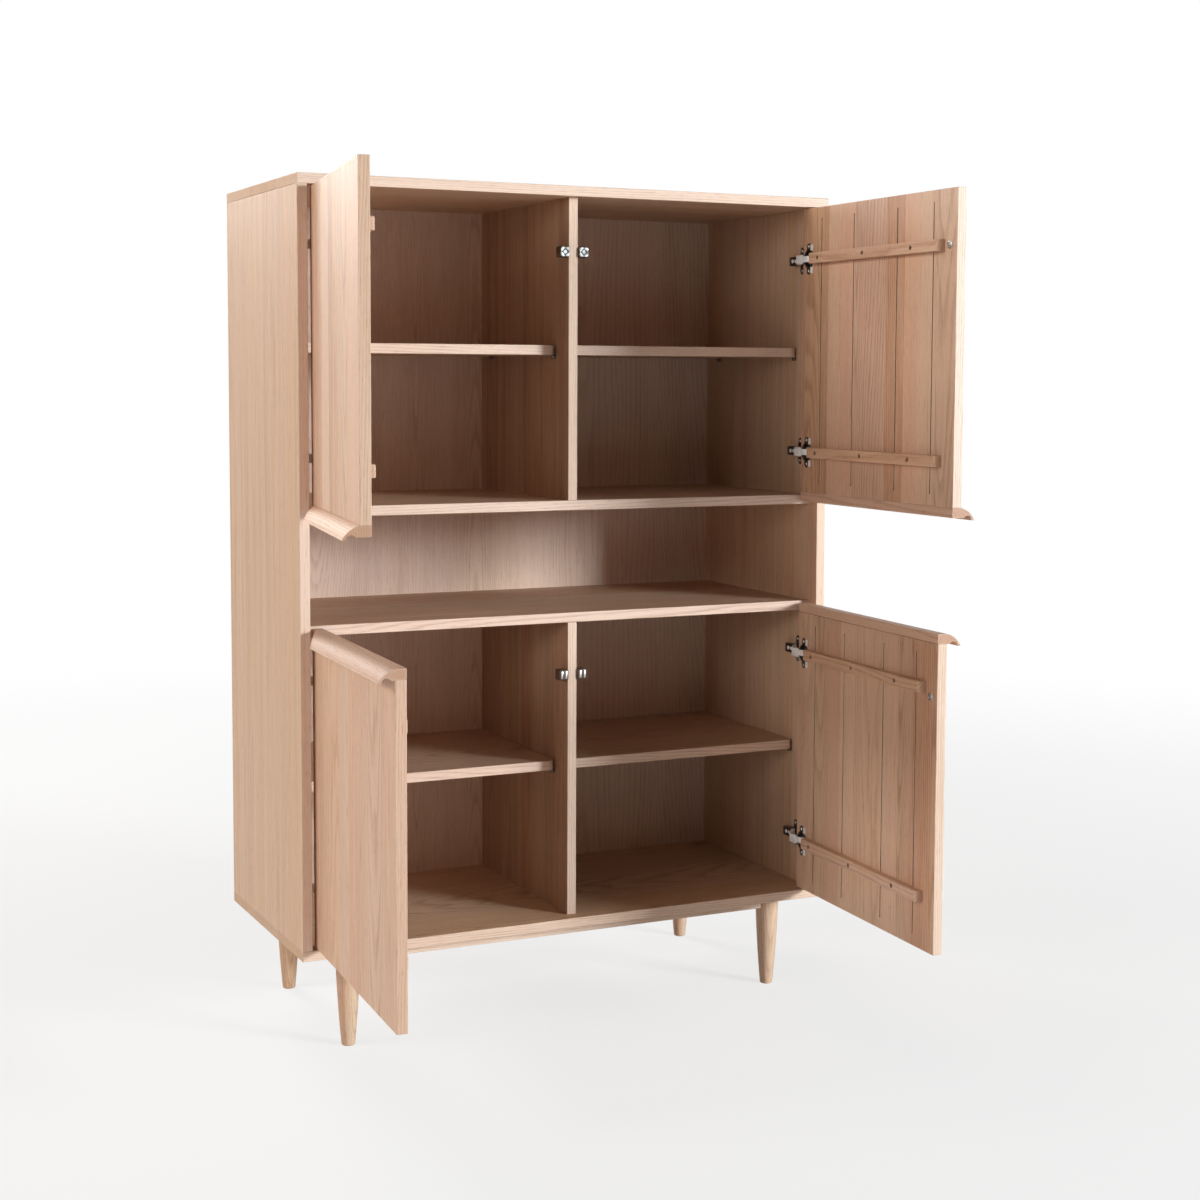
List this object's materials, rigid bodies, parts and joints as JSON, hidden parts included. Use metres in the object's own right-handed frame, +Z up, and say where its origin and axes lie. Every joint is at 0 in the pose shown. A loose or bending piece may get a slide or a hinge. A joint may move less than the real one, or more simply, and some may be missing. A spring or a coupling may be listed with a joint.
{
  "type": "tall storage cabinet",
  "caption": "Tall oak cabinet on round tapered legs, with doors above and below an open niche; each door swings on concealed hinges and has a pull rail with a finger lip.",
  "frame": {"origin": "on the floor, at the centre of the case's footprint", "axes": "+X to the right when facing the doors, the front faces -Y, +Z up"},
  "size_m": [1.1841, 0.9791, 1.6],
  "materials": {
    "oak_case": "matt oiled, grain upright on the sides",
    "oak_inside": "matt oiled",
    "oak_doors": "matt oiled, grain upright",
    "oak_base": "matt oiled",
    "beech_dowels": "raw",
    "nickel": "nickel plated",
    "hinge_steel": "nickel plated, bright",
    "pole_steel": "bright",
    "catch_housing": "dark brown"
  },
  "bodies": {
    "cabinet": {"top_panel": "oak_case", "bottom_panel": "oak_case", "left_side_panel": "oak_case", "right_side_panel": "oak_case", "back_panel": "oak_inside", "niche_top_shelf": "oak_inside", "niche_floor_shelf": "oak_inside", "upper_divider": "oak_inside", "lower_divider": "oak_inside", "upper_left_shelf": "oak_inside", "upper_right_shelf": "oak_inside", "lower_left_shelf": "oak_inside", "lower_right_shelf": "oak_inside", "front_left_leg": "oak_base", "front_right_leg": "oak_base", "rear_left_leg": "oak_base", "rear_right_leg": "oak_base", "front_base_rail": "oak_base", "rear_base_rail": "oak_base", "carcass_dowels": "beech_dowels", "shelf_pins": "nickel", "leg_studs": "nickel", "catch_housings": "catch_housing", "catch_pole_plates": "pole_steel", "hinge_mounting_plates": "hinge_steel", "hinge_arms": "hinge_steel", "hinge_plate_screws": "nickel"},
    "upper_left_door": {"upper_left_door_panel": "oak_doors", "upper_left_pull_rail": "oak_doors", "upper_left_upper_batten": "oak_doors", "upper_left_lower_batten": "oak_doors", "upper_left_batten_screws": "nickel", "upper_left_hardware_screws": "nickel", "upper_left_hinge_cups": "hinge_steel", "upper_left_strike_plate": "pole_steel"},
    "upper_right_door": {"upper_right_door_panel": "oak_doors", "upper_right_pull_rail": "oak_doors", "upper_right_upper_batten": "oak_doors", "upper_right_lower_batten": "oak_doors", "upper_right_batten_screws": "nickel", "upper_right_hardware_screws": "nickel", "upper_right_hinge_cups": "hinge_steel", "upper_right_strike_plate": "pole_steel"},
    "lower_left_door": {"lower_left_door_panel": "oak_doors", "lower_left_pull_rail": "oak_doors", "lower_left_upper_batten": "oak_doors", "lower_left_lower_batten": "oak_doors", "lower_left_batten_screws": "nickel", "lower_left_hardware_screws": "nickel", "lower_left_hinge_cups": "hinge_steel", "lower_left_strike_plate": "pole_steel"},
    "lower_right_door": {"lower_right_door_panel": "oak_doors", "lower_right_pull_rail": "oak_doors", "lower_right_upper_batten": "oak_doors", "lower_right_lower_batten": "oak_doors", "lower_right_batten_screws": "nickel", "lower_right_hardware_screws": "nickel", "lower_right_hinge_cups": "hinge_steel", "lower_right_strike_plate": "pole_steel"}
  },
  "joints": [
    {"name": "upper_left_door_hinge", "type": "hinge", "parent": "cabinet", "child": "upper_left_door", "pos_m": [-0.516, -0.2285, 1.286], "axis": [0, 0, 1], "range_deg": [-10.6, 99.4]},
    {"name": "upper_right_door_hinge", "type": "hinge", "parent": "cabinet", "child": "upper_right_door", "pos_m": [0.516, -0.2285, 1.286], "axis": [0, 0, 1], "range_deg": [-89.3, 20.7]},
    {"name": "lower_left_door_hinge", "type": "hinge", "parent": "cabinet", "child": "lower_left_door", "pos_m": [-0.516, -0.2285, 0.494], "axis": [0, 0, 1], "range_deg": [-16.7, 93.3]},
    {"name": "lower_right_door_hinge", "type": "hinge", "parent": "cabinet", "child": "lower_right_door", "pos_m": [0.516, -0.2285, 0.494], "axis": [0, 0, 1], "range_deg": [-86.5, 23.5]}
  ]
}
